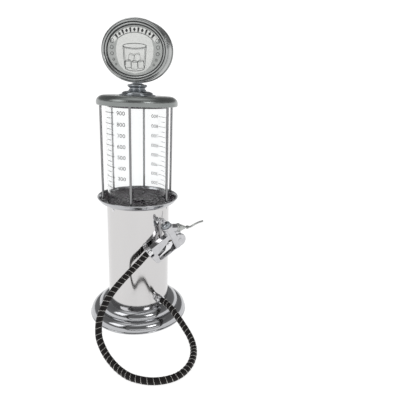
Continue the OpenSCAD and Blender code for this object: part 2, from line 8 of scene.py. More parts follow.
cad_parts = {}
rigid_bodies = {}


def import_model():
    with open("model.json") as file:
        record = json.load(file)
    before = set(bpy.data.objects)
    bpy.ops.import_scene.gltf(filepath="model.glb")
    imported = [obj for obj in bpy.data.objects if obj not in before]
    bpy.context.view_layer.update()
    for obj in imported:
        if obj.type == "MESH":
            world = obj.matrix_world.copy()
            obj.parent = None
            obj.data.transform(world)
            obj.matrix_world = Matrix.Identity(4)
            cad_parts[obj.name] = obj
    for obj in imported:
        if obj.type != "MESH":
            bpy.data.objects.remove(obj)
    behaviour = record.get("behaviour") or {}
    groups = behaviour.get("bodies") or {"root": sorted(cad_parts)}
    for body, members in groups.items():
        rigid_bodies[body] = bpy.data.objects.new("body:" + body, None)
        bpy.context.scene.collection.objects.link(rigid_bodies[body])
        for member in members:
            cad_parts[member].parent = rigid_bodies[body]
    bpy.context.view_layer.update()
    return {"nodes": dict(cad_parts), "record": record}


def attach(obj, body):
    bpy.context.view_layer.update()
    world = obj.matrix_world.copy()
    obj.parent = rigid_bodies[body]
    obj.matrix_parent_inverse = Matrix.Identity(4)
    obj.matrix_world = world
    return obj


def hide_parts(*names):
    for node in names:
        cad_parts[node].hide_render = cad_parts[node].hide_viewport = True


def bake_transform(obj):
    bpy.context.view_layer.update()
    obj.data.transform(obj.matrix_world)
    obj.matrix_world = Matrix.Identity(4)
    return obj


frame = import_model()
CAD_NODES = frame["nodes"]
MM = 0.001


# ---------------------------------------------------------------- materials
def material(name, base, second, metallic, rough, rough_to, scale=40.0, bump=0.05,
             bump_scale=400.0, stretch=(1, 1, 1), **sockets):
    """A procedural finish: two close tones, uneven roughness and a fine relief."""
    mat = bpy.data.materials.new(name)
    mat.use_nodes = True
    tree = mat.node_tree
    shader = tree.nodes["Principled BSDF"]
    coords = tree.nodes.new("ShaderNodeTexCoord")
    mapping = tree.nodes.new("ShaderNodeMapping")
    mapping.inputs["Scale"].default_value = stretch
    tree.links.new(coords.outputs["Object"], mapping.inputs["Vector"])

    def noise(factor, detail):
        node = tree.nodes.new("ShaderNodeTexNoise")
        node.inputs["Scale"].default_value = factor
        node.inputs["Detail"].default_value = detail
        tree.links.new(mapping.outputs["Vector"], node.inputs["Vector"])
        return node.outputs["Fac"]

    tones = tree.nodes.new("ShaderNodeMix")
    tones.data_type = "RGBA"
    tones.inputs[6].default_value = (*base, 1)
    tones.inputs[7].default_value = (*second, 1)
    tree.links.new(noise(scale, 4), tones.inputs[0])
    tree.links.new(tones.outputs[2], shader.inputs["Base Color"])
    spread = tree.nodes.new("ShaderNodeMapRange")
    spread.inputs["From Min"].default_value = 0.3
    spread.inputs["From Max"].default_value = 0.7
    spread.inputs["To Min"].default_value = rough
    spread.inputs["To Max"].default_value = rough_to
    tree.links.new(noise(scale * 2.3, 6), spread.inputs["Value"])
    tree.links.new(spread.outputs["Result"], shader.inputs["Roughness"])
    relief = tree.nodes.new("ShaderNodeBump")
    relief.inputs["Strength"].default_value = bump
    relief.inputs["Distance"].default_value = 0.0002
    tree.links.new(noise(bump_scale, 3), relief.inputs["Height"])
    tree.links.new(relief.outputs["Normal"], shader.inputs["Normal"])
    shader.inputs["Metallic"].default_value = metallic
    for socket, value in sockets.items():
        shader.inputs[socket.replace("_", " ")].default_value = value
    return mat


MATS = {
    "mirror": material("mirror_chrome", (0.80, 0.80, 0.81), (0.72, 0.72, 0.74), 1, 0.04, 0.10,
                       scale=30, bump=0.005, bump_scale=120),
    "rings": material("ring_chrome", (0.50, 0.505, 0.52), (0.42, 0.425, 0.44), 1, 0.09, 0.17,
                      scale=30, bump=0.005, bump_scale=120),
    "pedestal": material("pedestal_chrome", (0.645, 0.635, 0.63), (0.58, 0.572, 0.575), 1, 0.05, 0.13,
                         scale=18, bump=0.03, bump_scale=90, stretch=(1, 1, 0.25)),
    "cast": material("cast_chrome", (0.62, 0.62, 0.63), (0.46, 0.46, 0.48), 1, 0.06, 0.16,
                     scale=160, bump=0.12, bump_scale=420),
    "bezel": material("bezel_chrome", (0.42, 0.43, 0.425), (0.34, 0.35, 0.345), 1, 0.18, 0.26,
                      scale=60, bump=0.02, bump_scale=300),
    "lid": material("lid_metal", (0.30, 0.315, 0.31), (0.23, 0.245, 0.24), 1, 0.26, 0.34,
                    scale=60, bump=0.02, bump_scale=260),
    "dark": material("dark_chrome", (0.40, 0.42, 0.44), (0.26, 0.28, 0.30), 1, 0.08, 0.18,
                     scale=120, bump=0.06, bump_scale=300),
    "rod": material("rod_steel", (0.30, 0.30, 0.30), (0.19, 0.19, 0.20), 1, 0.10, 0.22,
                    scale=220, bump=0.05, bump_scale=500, stretch=(1, 1, 0.2)),
    "wire": material("winding_wire", (0.70, 0.69, 0.66), (0.50, 0.49, 0.47), 1, 0.18, 0.34,
                     scale=300, bump=0.05, bump_scale=900),
    "steel": material("plate_steel", (0.40, 0.40, 0.41), (0.30, 0.30, 0.31), 1, 0.28, 0.45,
                      scale=70, bump=0.10, bump_scale=500),
    "brass": material("brass", (0.62, 0.45, 0.20), (0.48, 0.34, 0.15), 1, 0.22, 0.40,
                      scale=120, bump=0.08, bump_scale=600),
    "cone": material("cone_metal", (0.50, 0.51, 0.50), (0.38, 0.39, 0.38), 1, 0.22, 0.36,
                     scale=150, bump=0.10, bump_scale=700),
    "rubber": material("black_rubber", (0.016, 0.015, 0.015), (0.030, 0.028, 0.028), 0, 0.42, 0.62,
                       scale=160, bump=0.25, bump_scale=1400, Specular_IOR_Level=0.35),
    "hose": material("hose_rubber", (0.009, 0.008, 0.008), (0.018, 0.015, 0.015), 0, 0.42, 0.62,
                     scale=120, bump=0.30, bump_scale=1100, Specular_IOR_Level=0.15),
    "seal": material("white_seal", (0.74, 0.74, 0.72), (0.64, 0.64, 0.62), 0, 0.40, 0.60,
                     scale=90, bump=0.10, bump_scale=900),
    "plum": material("plum_floor", (0.085, 0.066, 0.082), (0.055, 0.044, 0.056), 0, 0.20, 0.36,
                     scale=40, bump=0.02, bump_scale=500, Coat_Weight=0.3),
    "inner": material("inner_plastic", (0.72, 0.73, 0.73), (0.62, 0.63, 0.63), 0, 0.35, 0.55,
                      scale=90, bump=0.10, bump_scale=800),
    "ink": material("scale_ink", (0.010, 0.010, 0.012), (0.022, 0.022, 0.025), 0, 0.45, 0.65,
                    scale=900, bump=0.10, bump_scale=2000),
    "plate": material("sign_plate", (0.47, 0.485, 0.47), (0.34, 0.355, 0.345), 0.35, 0.30, 0.46,
                      scale=70, bump=0.02, bump_scale=500),
    "etch": material("sign_etching", (0.80, 0.81, 0.79), (0.66, 0.67, 0.65), 0.2, 0.30, 0.48,
                     scale=130, bump=0.02, bump_scale=700),
    # Near-black for the sign's printed marks, and also painted shade in the bezel's groove and at the foot
    # of its step.
    "sign_ink_and_groove_shade": material("sign_ink_and_groove_shade", (0.018, 0.018, 0.020), (0.045, 0.045, 0.048), 0.1, 0.35, 0.55,
                         scale=600, bump=0.10, bump_scale=1500),
    "line": material("sign_line", (0.13, 0.135, 0.135), (0.08, 0.085, 0.085), 0.3, 0.32, 0.5,
                     scale=600, bump=0.10, bump_scale=1500),
    "clear": material("clear_acrylic", (0.985, 0.99, 0.99), (0.965, 0.975, 0.98), 0, 0.015, 0.05,
                      scale=25, bump=0.02, bump_scale=60, Transmission_Weight=1.0, IOR=1.3),
}


# ---------------------------------------------------------------- shapes
def arc(cx, cy, rx, ry, start, end, n):
    """Points of an elliptic arc in n steps, with angles in degrees."""
    turns = [math.radians(start + (end - start) * i / n) for i in range(n + 1)]
    return [(cx + rx * math.cos(t), cy + ry * math.sin(t)) for t in turns]


def rounded(outline, radius, n=4):
    """Cuts each corner of a closed outline to a small curve, never longer than its sides allow."""
    out = []
    count = len(outline)
    for i, p in enumerate(outline):
        a, b = Vector(outline[i - 1]), Vector(outline[(i + 1) % count])
        c = Vector(p)
        da, db = a - c, b - c
        if da.length < 1e-6 or db.length < 1e-6:
            continue
        cut = min(radius, 0.45 * da.length, 0.45 * db.length)
        turn = math.degrees(math.pi - da.angle(db))
        if turn < 14:
            out.append(p)
            continue
        s, e = c + da.normalized() * cut, c + db.normalized() * cut
        for k in range(n + 1):
            t = k / n
            q = s * (1 - t) ** 2 + c * 2 * t * (1 - t) + e * t ** 2
            out.append((q.x, q.y))
    return out


def direction(azimuth):
    """The level unit vector at an azimuth: 0 is the front, 90 the right."""
    a = math.radians(azimuth)
    return Vector((math.sin(a), -math.cos(a), 0))


def mesh_object(name, verts, faces, place=None):
    """A mesh given in millimetres, placed in the row frame."""
    data = bpy.data.meshes.new(name)
    data.from_pydata([tuple(v) for v in verts], [], faces)
    bm = bmesh.new()
    bm.from_mesh(data)
    bmesh.ops.remove_doubles(bm, verts=bm.verts, dist=1e-4)
    bmesh.ops.recalc_face_normals(bm, faces=bm.faces)
    bm.to_mesh(data)
    bm.free()
    data.transform(Matrix.Scale(MM, 4) @ (place or Matrix.Identity(4)))
    obj = bpy.data.objects.new(name, data)
    bpy.context.scene.collection.objects.link(obj)
    return obj


def finish(obj, mat, body, slot_name, *nodes, smooth=40):
    """Gives a piece its finish and body, and hides the CAD nodes that it stands for; slot_name is not used.
    """
    obj.data.materials.clear()
    obj.data.materials.append(MATS[mat])
    obj.data.polygons.foreach_set("use_smooth", [True] * len(obj.data.polygons))
    if smooth:
        obj.data.set_sharp_from_angle(angle=math.radians(smooth))
        normals = obj.modifiers.new("normals", "WEIGHTED_NORMAL")
        normals.keep_sharp = True
    if isinstance(body, str):
        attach(obj, body)
    if nodes:
        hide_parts(*nodes)
    return obj


def grid_faces(rows, cols, wrap_rows, wrap_cols):
    """Four-sided faces over a grid of vertices, closed round in either direction."""
    faces = []
    for i in range(rows if wrap_rows else rows - 1):
        for j in range(cols if wrap_cols else cols - 1):
            a, b = i % rows, (i + 1) % rows
            c, d = j % cols, (j + 1) % cols
            faces.append((a * cols + c, b * cols + c, b * cols + d, a * cols + d))
    return faces


def around(count):
    """The angles of a full turn, in even steps."""
    return [2 * math.pi * k / count for k in range(count)]


def turned(outline, seg=64, radius=0.3):
    """Turns a closed outline of (radius, height) about +Z, as (verts, faces)."""
    profile = rounded(outline, radius)
    verts = [(r * math.cos(t), r * math.sin(t), z) for r, z in profile for t in around(seg)]
    return verts, grid_faces(len(profile), seg, True, True)


def lathe(name, outline, seg=160, radius=0.4):
    """A mesh object turned about the pump's own axis."""
    return mesh_object(name, *turned(outline, seg, radius))


def prism(outline, low, high, bevel=0.0, segments=3):
    """Vertices and faces of a straight extrusion with bevelled edges."""
    bm = bmesh.new()
    base = [bm.verts.new((x, y, low)) for x, y in outline]
    bottom = bm.faces.new(base)
    made = bmesh.ops.extrude_face_region(bm, geom=[bottom])
    for v in made["geom"]:
        if isinstance(v, bmesh.types.BMVert):
            v.co.z = high
    bmesh.ops.recalc_face_normals(bm, faces=bm.faces)
    if bevel:
        edges = [e for e in bm.edges if e.calc_face_angle(0) > math.radians(20)]
        bmesh.ops.bevel(bm, geom=edges, offset=bevel, segments=segments, profile=0.5,
                        affect="EDGES", clamp_overlap=True)
    bm.verts.index_update()
    verts = [tuple(v.co) for v in bm.verts]
    faces = [[v.index for v in f.verts] for f in bm.faces]
    bm.free()
    return verts, faces


def merged(parts):
    """Joins lists of (verts, faces) into one."""
    verts, faces = [], []
    for v, f in parts:
        base = len(verts)
        verts += v
        faces += [[i + base for i in face] for face in f]
    return verts, faces


def moved(part, matrix):
    """The same (verts, faces) carried through a matrix."""
    verts, faces = part
    return [tuple(matrix @ Vector(v)) for v in verts], faces


def smooth_path(points, per_span, start_dir, end_dir):
    """Catmull-Rom curve through points, leaving and arriving along the two directions."""
    pts = [Vector(p) for p in points]
    first = pts[0] - start_dir * (pts[1] - pts[0]).length
    last = pts[-1] + end_dir * (pts[-1] - pts[-2]).length
    pts = [first] + pts + [last]
    out = []
    for i in range(1, len(pts) - 2):
        p0, p1, p2, p3 = pts[i - 1:i + 3]
        for k in range(per_span):
            t = k / per_span
            out.append(0.5 * ((2 * p1) + (p2 - p0) * t + (2 * p0 - 5 * p1 + 4 * p2 - p3) * t ** 2
                              + (3 * p1 - p0 - 3 * p2 + p3) * t ** 3))
    out.append(pts[-2].copy())
    return out


def path_frames(path):
    """A tangent and two normals at each point, carried along without twist."""
    frames = []
    side = None
    for i, p in enumerate(path):
        t = (path[min(i + 1, len(path) - 1)] - path[max(i - 1, 0)]).normalized()
        if side is None:
            side = t.cross(Vector((0, 0, 1)) if abs(t.z) < 0.9 else Vector((1, 0, 0))).normalized()
        side = (side - t * side.dot(t)).normalized()
        frames.append((p, t, side, t.cross(side)))
    return frames


def sweep(path, radius, sides):
    """A closed tube along a path."""
    frames = path_frames(path)
    verts = [tuple(p + (u * math.cos(t) + v * math.sin(t)) * radius)
             for p, _, u, v in frames for t in around(sides)]
    faces = grid_faces(len(frames), sides, False, True)
    faces.append(list(range(sides)))
    faces.append([(len(frames) - 1) * sides + k for k in range(sides - 1, -1, -1)])
    return verts, faces


def remeshed(name, part, cuts, voxel, smoothing, place):
    """Fuses overlapping solids into one cast shape with soft inside corners, and cuts out holes."""
    obj = mesh_object(name, *part)
    for k, cutter in enumerate(cuts):
        other = mesh_object(f"{name}_cut{k}", *cutter)
        if k == 0:
            fuse = obj.modifiers.new("fuse", "REMESH")
            fuse.mode = "VOXEL"
            fuse.voxel_size = voxel * MM
        cut = obj.modifiers.new("cut", "BOOLEAN")
        cut.operation = "DIFFERENCE"
        cut.object = other
        cut.solver = "EXACT"
    again = obj.modifiers.new("again", "REMESH")
    again.mode = "VOXEL"
    again.voxel_size = voxel * MM
    relax = obj.modifiers.new("relax", "SMOOTH")
    relax.iterations = smoothing
    relax.factor = 0.5
    graph = bpy.context.evaluated_depsgraph_get()
    shape = bpy.data.meshes.new_from_object(obj.evaluated_get(graph))
    obj.modifiers.clear()
    obj.data = shape
    for other in [o for o in bpy.data.objects if o.name.startswith(f"{name}_cut")]:
        bpy.data.objects.remove(other)
    shape.transform(Matrix.Scale(MM, 4) @ place @ Matrix.Scale(1 / MM, 4))
    return obj


def radial(azimuth, r, z, tilt=0.0):
    """Places a shape drawn along +Z so that it points outwards on a radius of the pedestal."""
    return (Matrix.Translation(direction(azimuth) * r + Vector((0, 0, z)))
            @ Matrix.Rotation(math.radians(azimuth), 4, "Z")
            @ Matrix.Rotation(math.radians(90 - tilt), 4, "X"))


def hexagon(radius, low, high, hole, chamfer):
    """A hexagonal nut with chamfered corners and a round hole."""
    seg = 72
    flat = radius * math.cos(math.radians(30))

    def corner_r(t):
        part = (math.degrees(t) % 60) - 30
        return flat / math.cos(math.radians(part))

    rows = [(hole, low + 0.3), (hole + 0.3, low), (flat * 0.96, low), (None, low + chamfer),
            (None, high - chamfer), (flat * 0.96, high), (hole + 0.3, high), (hole, high - 0.3)]
    verts = []
    for r, z in rows:
        for t in around(seg):
            q = corner_r(t) if r is None else r
            verts.append((q * math.cos(t), q * math.sin(t), z))
    return verts, grid_faces(len(rows), seg, True, True)


# ---------------------------------------------------------------- camera, floor and light
camera_data = bpy.data.cameras.new("camera")
camera_data.sensor_width = 36
camera_data.lens = 35.28
camera = bpy.data.objects.new("camera", camera_data)
bpy.context.scene.collection.objects.link(camera)
camera.location = (0.2340, -0.5625, 0.3715)
camera.rotation_mode = "QUATERNION"
look = Vector((-0.2204, 0.9353, -0.2770)).to_track_quat("-Z", "Y")
roll = Matrix.Rotation(math.radians(2.18), 3, "Z").to_quaternion()
camera.rotation_quaternion = look @ roll
camera_data.clip_start = 0.01
camera_data.clip_end = 100
bpy.context.scene.camera = camera
bpy.context.scene.view_settings.view_transform = "Standard"


def make_stage():
    """A white floor, a studio sky in bands of grey, and two soft lamps."""
    count, floor_r = 96, 9000
    verts = [(0, 0, 0)] + [(floor_r * math.cos(t), floor_r * math.sin(t), 0) for t in around(count)]
    faces = [(0, 1 + k, 1 + (k + 1) % count) for k in range(count)]
    floor = mesh_object("floor", verts, faces)
    floor.data.materials.append(material("floor_white", (0.30, 0.30, 0.30), (0.28, 0.28, 0.28), 0,
                                         0.55, 0.75, scale=2, bump=0.02, bump_scale=20,
                                         Specular_IOR_Level=0.0, Emission_Strength=0.92,
                                         Emission_Color=(1, 1, 1, 1)))
    world = bpy.data.worlds.new("studio")
    bpy.context.scene.world = world
    world.use_nodes = True
    tree = world.node_tree
    background = tree.nodes["Background"]
    coords = tree.nodes.new("ShaderNodeTexCoord")
    split = tree.nodes.new("ShaderNodeSeparateXYZ")
    tree.links.new(coords.outputs["Generated"], split.inputs["Vector"])
    ramp = tree.nodes.new("ShaderNodeValToRGB")
    ramp.color_ramp.elements[0].position = 0.0
    ramp.color_ramp.elements[0].color = (0.95, 0.95, 0.95, 1)
    ramp.color_ramp.elements[1].position = 1.0
    ramp.color_ramp.elements[1].color = (1, 1, 1, 1)
    for position, value in ((0.19, 0.95), (0.26, 0.22), (0.84, 0.14), (0.92, 0.5), (0.97, 0.9)):
        element = ramp.color_ramp.elements.new(position)
        element.color = (value, value, value, 1)
    tree.links.new(split.outputs["Z"], ramp.inputs["Fac"])
    tree.links.new(ramp.outputs["Color"], background.inputs["Color"])
    background.inputs["Strength"].default_value = 1.2
    lamps = (("key", (-1.0, -1.1, 1.6), 1.0, 6), ("fill", (1.3, -0.9, 1.3), 0.6, 4))
    for name, place, size, power in lamps:
        data = bpy.data.lights.new(name, "AREA")
        data.size = size
        data.energy = power
        light = bpy.data.objects.new(name, data)
        bpy.context.scene.collection.objects.link(light)
        light.location = place
        light.rotation_mode = "QUATERNION"
        light.rotation_quaternion = (Vector((0, 0, 0.2)) - Vector(place)).to_track_quat("-Z", "Y")


make_stage()

# ---------------------------------------------------------------- hose
# Where the gun's ring hangs on the peg, the ring's centre in the gun's own frame, and the hose's two ends
PEG_AZIMUTH, EYE_RHO, EYE_Z = 59, 61.1, 175.4
EYE_X, EYE_Y = 42.1, 28.6
OUTLET_AZIMUTH, OUTLET_R, OUTLET_Z = 60, 60, 40
CRIMP_X, CRIMP_Y = -4, -1
GUN_AZIMUTH, GUN_PITCH = math.radians(48), math.radians(29)
gun_eye = direction(PEG_AZIMUTH) * EYE_RHO + Vector((0, 0, EYE_Z))
gun_along = Vector((math.cos(GUN_AZIMUTH) * math.cos(GUN_PITCH),
                    math.sin(GUN_AZIMUTH) * math.cos(GUN_PITCH), math.sin(GUN_PITCH)))
gun_up = Vector((-math.cos(GUN_AZIMUTH) * math.sin(GUN_PITCH),
                 -math.sin(GUN_AZIMUTH) * math.sin(GUN_PITCH), math.cos(GUN_PITCH)))
gun_side = gun_along.cross(gun_up)
gun_origin = gun_eye - gun_along * EYE_X - gun_up * EYE_Y
GUN = Matrix.Translation(gun_origin) @ Matrix((gun_along, gun_up, gun_side)).transposed().to_4x4()


def gun_point(x, y):
    """A point of the gun's middle plane in the row frame."""
    return GUN @ Vector((x, y, 0))


OUTLET = direction(OUTLET_AZIMUTH)
HOSE_R, WIND_R, WIRE_R, WIND_PITCH = 4.7, 4.85, 0.33, 7.6
hose_points = [
    OUTLET * OUTLET_R + Vector((0, 0, OUTLET_Z)),
    (60, -34.6, 39.5), (71, -43, 37.5), (82, -51, 32.5), (92, -57.5, 26), (101, -63, 19),
    (110, -70, 12.5), (117, -79.5, 8.5), (122, -91, 6), (125, -106, 5.8), (125, -122, 5.8),
    (121, -138, 5.8), (113, -151, 5.8), (101, -160.5, 5.8), (87, -166.5, 5.8), (72, -168.5, 5.8),
    (56, -167, 5.8), (41, -161, 5.8), (27, -154, 8), (14, -147.5, 14), (5, -143, 23),
    (-2, -138, 33), (-5.5, -132, 45), (-6.5, -125.5, 56), (-5, -117.5, 67), (-2, -108.5, 77),
    (3, -97.5, 87), (9, -87, 95.5), (15, -77.5, 103), (21, -68.8, 110), (27, -60.6, 117),
    gun_point(CRIMP_X, CRIMP_Y),
]
hose_path = smooth_path(hose_points, 8, OUTLET, gun_along)


def path_length(path):
    return sum((b - a).length for a, b in zip(path, path[1:]))


def resampled(path, step):
    """The same path with points an even distance apart."""
    total = path_length(path)
    count = max(2, round(total / step))
    out, gone, i = [path[0].copy()], 0.0, 0
    for k in range(1, count):
        goal = total * k / count
        while gone + (path[i + 1] - path[i]).length < goal:
            gone += (path[i + 1] - path[i]).length
            i += 1
        span = (path[i + 1] - path[i]).length
        out.append(path[i].lerp(path[i + 1], (goal - gone) / span))
    out.append(path[-1].copy())
    return out


hose_path = resampled(hose_path, 2.0)
hose_length = path_length(hose_path)


def winding(path):
    """A wire wound round the hose, with a little uneven pitch."""
    frames = path_frames(path)
    step = hose_length / (len(path) - 1)
    out = []
    sub, angle = 9, 0.4
    for i in range(len(frames) - 1):
        pitch = WIND_PITCH * (1 + 0.06 * math.sin(i * 0.21) + 0.04 * math.sin(i * 0.57 + 1))
        for k in range(sub):
            s = k / sub
            p = frames[i][0].lerp(frames[i + 1][0], s)
            u = frames[i][2].lerp(frames[i + 1][2], s).normalized()
            v = frames[i][3].lerp(frames[i + 1][3], s).normalized()
            out.append(p + (u * math.cos(angle) + v * math.sin(angle)) * WIND_R)
            angle += 2 * math.pi * step / pitch / sub
    return out


hose = mesh_object("hose_rubber", *sweep(hose_path, HOSE_R, 28))
finish(hose, "hose", None, "black_rubber", "hose", smooth=60)
hose_wire = mesh_object("hose_winding", *sweep(winding(hose_path[1:-1]), WIRE_R, 6))
finish(hose_wire, "wire", None, "rod_steel", smooth=0)
for piece in (hose, hose_wire):
    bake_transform(piece)

# ---------------------------------------------------------------- base and pedestal
LEDGE_R, LEDGE_Z, LIP_Z, BASE_H, PED_R, PED_TOP = 66, 15.5, 4.2, 28, 49, 192
PAD_R, PAD_T, SLEEVE_IN = 78, 0.8, 47.8
foot = lathe("foot_pad_rubber", [(0.5, 0), (0.5, PAD_T), (PAD_R, PAD_T), (PAD_R, 0)], radius=0.25)
finish(foot, "rubber", "root", "black_rubber", "foot_pad")
shell = lathe("base_rings", (
    [(74, PAD_T), (78.6, PAD_T)] + arc(78.6, 2.2, 1.4, 1.4, -60, 60, 8)
    + arc(68, LIP_Z, 10.8, LEDGE_Z - LIP_Z, 0, 90, 26)
    + arc(52.5, LEDGE_Z, LEDGE_R - 52.5, BASE_H - LEDGE_Z, 0, 80, 26)
    + [(49.1, BASE_H + 0.4), (49.1, BASE_H - 1)]
    + arc(52.5, LEDGE_Z, LEDGE_R - 53.7, BASE_H - LEDGE_Z - 1.2, 80, 0, 12)
    + arc(68, LIP_Z, 9.6, LEDGE_Z - LIP_Z - 1.2, 90, 0, 12) + [(77, 2), (74, 2)]),
    radius=0.5, seg=224)
finish(shell, "rings", "root", "chrome", "base_shell")
tube = lathe("pedestal_sleeve", [(SLEEVE_IN, 5), (PED_R, 5), (PED_R, 34), (PED_R, 90), (PED_R, 150),
                                 (PED_R, PED_TOP), (SLEEVE_IN, PED_TOP), (SLEEVE_IN, 90)],
             radius=0.3, seg=224)
finish(tube, "pedestal", "root", "chrome", "pedestal_tube")


def screws():
    """Three round-head screws near the pedestal's top, with a thin bar standing for each slot."""
    parts = []
    for azimuth in (-27, 88, 210):
        head = turned([(0.02, 0), (2.1, 0), (1.9, 0.7), (0.9, 1.05), (0.02, 1.1)], 40, 0.2)
        slot = prism([(-1.5, -0.22), (1.5, -0.22), (1.5, 0.22), (-1.5, 0.22)], 0.8, 1.13)
        place = radial(azimuth, PED_R, 187.5)
        parts += [moved(head, place), moved(slot, place)]
        parts.append(moved(turned([(0.02, -4.2), (1, -4.2), (1, 0.1), (0.02, 0.1)], 24, 0.1), place))
    return merged(parts)


finish(mesh_object("pedestal_screw_heads", *screws()), "mirror", "root", "chrome", "pedestal_screws")

DISH_R, DISH_Z = 63.2, 201.6
dish = lathe("dish_rim", (
    [(44.6, 181), (47.75, 181), (47.75, PED_TOP), (49.3, PED_TOP)]
    + arc(49.3, DISH_Z - 0.4, DISH_R - 51, DISH_Z - 0.4 - PED_TOP, -88, -24, 18)
    + arc(DISH_R - 1.1, DISH_Z, 1.1, 1.1, -60, 200, 18)
    + arc(50.2, DISH_Z + 0.4, DISH_R - 53.4, DISH_Z - 1 - PED_TOP, -30, -90, 18)
    + [(48, 194.2), (48, 191.2), (5.3, 191.2), (5.3, 190), (44.6, 190)]),
    radius=0.3, seg=224)
finish(dish, "rings", "root", "chrome", "reservoir_dish")
# Painted reflection: a thin plum sheet over the chrome dish's sloping inside, between the tube and the rim,
# standing for the dark plum that this chrome slope mirrors.
reflection_sheet = lathe("dish_lining", (
    arc(50.4, DISH_Z + 0.4, DISH_R - 54.2, DISH_Z - 1.3 - PED_TOP, -24, -88, 18)
    + arc(50.4, DISH_Z + 0.4, DISH_R - 53.9, DISH_Z - 1.0 - PED_TOP, -88, -24, 18)),
    radius=0.02, seg=224)
finish(reflection_sheet, "plum", "root", "floor_plastic")

# ---------------------------------------------------------------- reservoir
TANK_R, TANK_IN, TANK_BASE, TANK_TOP = 47, 45, 192.2, 349
ROD_AZIMUTH, ROD_R, ROD_CIRCLE = 11.7, 1.75, 55.7


def floor_outline():
    """The reservoir floor, with a shallow groove between each pair of rings."""
    top = [(44.7, 191.2), (44.7, 194.4)]
    for r in (35, 28, 21, 14):
        top += [(r + 1.6, 194.4), (r + 1.2, 193.7), (r - 1.2, 193.7), (r - 1.6, 194.4)]
    return top + [(5.05, 194.4), (5.05, 191.2)]


tank_floor = lathe("reservoir_floor_disc", floor_outline(), radius=0.3, seg=176)
finish(tank_floor, "plum", "root", "floor_plastic", "reservoir_floor")
drain = lathe("drain_flange", [(2.4, 160), (3.5, 160), (3.5, 176), (5, 176), (5, 194.4), (8.4, 194.5),
                               (8.4, 195.4), (7.4, 196.1), (3.4, 196.1), (2.4, 195.2)], radius=0.3, seg=72)
finish(drain, "plum", "root", "floor_plastic", "drain_fitting")
tank = lathe("reservoir_cylinder", [(TANK_IN, TANK_BASE), (TANK_R, TANK_BASE), (TANK_R, TANK_TOP),
                                    (TANK_IN, TANK_TOP)], radius=0.4, seg=224)
finish(tank, "clear", "root", "clear_tube", "reservoir_tube")

# Strokes of the printed figures, in a box 1 wide and 1.6 high
ROUND = [(0.5 + 0.45 * math.cos(t / 10 * math.pi), 0.8 + 0.75 * math.sin(t / 10 * math.pi))
         for t in range(21)]
DIGITS = {
    "0": [ROUND],
    "1": [[(0.2, 1.25), (0.55, 1.55), (0.55, 0.05)]],
    "2": [arc(0.5, 1.1, 0.42, 0.45, 160, -30, 8) + [(0.08, 0.05), (0.95, 0.05)]],
    "3": [arc(0.48, 1.17, 0.40, 0.38, 150, -90, 8) + arc(0.48, 0.43, 0.44, 0.38, 90, -150, 8)],
    "4": [[(0.72, 0.05), (0.72, 1.55), (0.06, 0.48), (0.98, 0.48)]],
    "5": [[(0.88, 1.55), (0.22, 1.55), (0.16, 0.88)] + arc(0.46, 0.53, 0.44, 0.48, 115, -150, 9)],
    "6": [arc(0.95, 0.75, 0.85, 0.85, 105, 180, 6) + arc(0.5, 0.48, 0.42, 0.43, 180, 540, 14)],
    "7": [[(0.06, 1.55), (0.94, 1.55), (0.40, 0.05)]],
    "8": [arc(0.5, 1.19, 0.36, 0.36, -90, 270, 14), arc(0.5, 0.43, 0.43, 0.40, 90, 450, 14)],
    "9": [arc(0.5, 1.12, 0.42, 0.43, 0, 360, 14) + arc(0.05, 0.85, 0.87, 0.85, 0, -75, 6)],
}


def ribbon(points, width):
    """A flat stroke with square ends: vertices in the plane and faces."""
    pts = [Vector((p[0], p[1], 0)) for p in points]
    verts = []
    for i, p in enumerate(pts):
        t = (pts[min(i + 1, len(pts) - 1)] - pts[max(i - 1, 0)]).normalized()
        n = Vector((-t.y, t.x, 0)) * width / 2
        reach = t * (width / 2 if i == len(pts) - 1 else -width / 2 if i == 0 else 0)
        verts += [p + n + reach, p - n + reach]
    faces = [(2 * i, 2 * i + 1, 2 * i + 3, 2 * i + 2) for i in range(len(pts) - 1)]
    return verts, faces


def thick_on_cylinder(part, azimuth, z, r, rise):
    """Wraps a flat shape on a cylinder; +X of the shape goes round towards larger azimuths."""
    verts, faces = part
    out = []
    for lift in (0.0, rise):
        for v in verts:
            outwards = direction(azimuth + math.degrees(v[0] / r))
            out.append(tuple(outwards * (r + lift) + Vector((0, 0, z + v[1]))))
    n = len(verts)
    solid = [list(f) for f in faces] + [[i + n for i in reversed(f)] for f in faces]
    edges = {pair: True for f in faces for pair in zip(f, f[1:] + f[:1])}
    solid += [[b, a, a + n, b + n] for a, b in edges if (b, a) not in edges]
    return out, solid


def scale_print(name, number_azimuth, tick_azimuth, first_z):
    """Printed marks from 900 down to 200; the ticks run round towards smaller azimuths."""
    parts = []
    step_z, height, width, gap = 15.65, 5.0, 3.6, 1.15
    figure_line, tick_line, surface, ink = 0.85, 0.7, TANK_R + 0.01, 0.05
    for value in range(900, 199, -100):
        z = first_z - (900 - value) / 100 * step_z
        text = str(value)
        for k, figure in enumerate(text):
            x0 = (k - len(text) / 2) * (width + gap) + gap / 2
            for stroke in DIGITS[figure]:
                pts = [(x0 + p[0] * width, (p[1] / 1.6 - 0.5) * height) for p in stroke]
                parts.append(thick_on_cylinder(ribbon(pts, figure_line), number_azimuth, z, surface, ink))
        for drop, start, reach in ((0, 0, 26), (0.5, 7.5, 12)):
            tick = ribbon([(-start - reach * i / 12, 0) for i in range(13)], tick_line)
            parts.append(thick_on_cylinder(tick, tick_azimuth, z - drop * step_z, surface, ink))
    obj = mesh_object(name, *merged(parts))
    finish(obj, "ink", "root", "black_rubber", smooth=0)


scale_print("scale_front", -7.5, -22.5, 332)
scale_print("scale_back", 165.7, 156, 323.5)


def at_each_rod(part):
    """Six copies of a part, one on the axis of each tie rod."""
    places = [Matrix.Translation(direction(ROD_AZIMUTH + 60 * k) * ROD_CIRCLE) for k in range(6)]
    return merged([moved(part, place) for place in places])


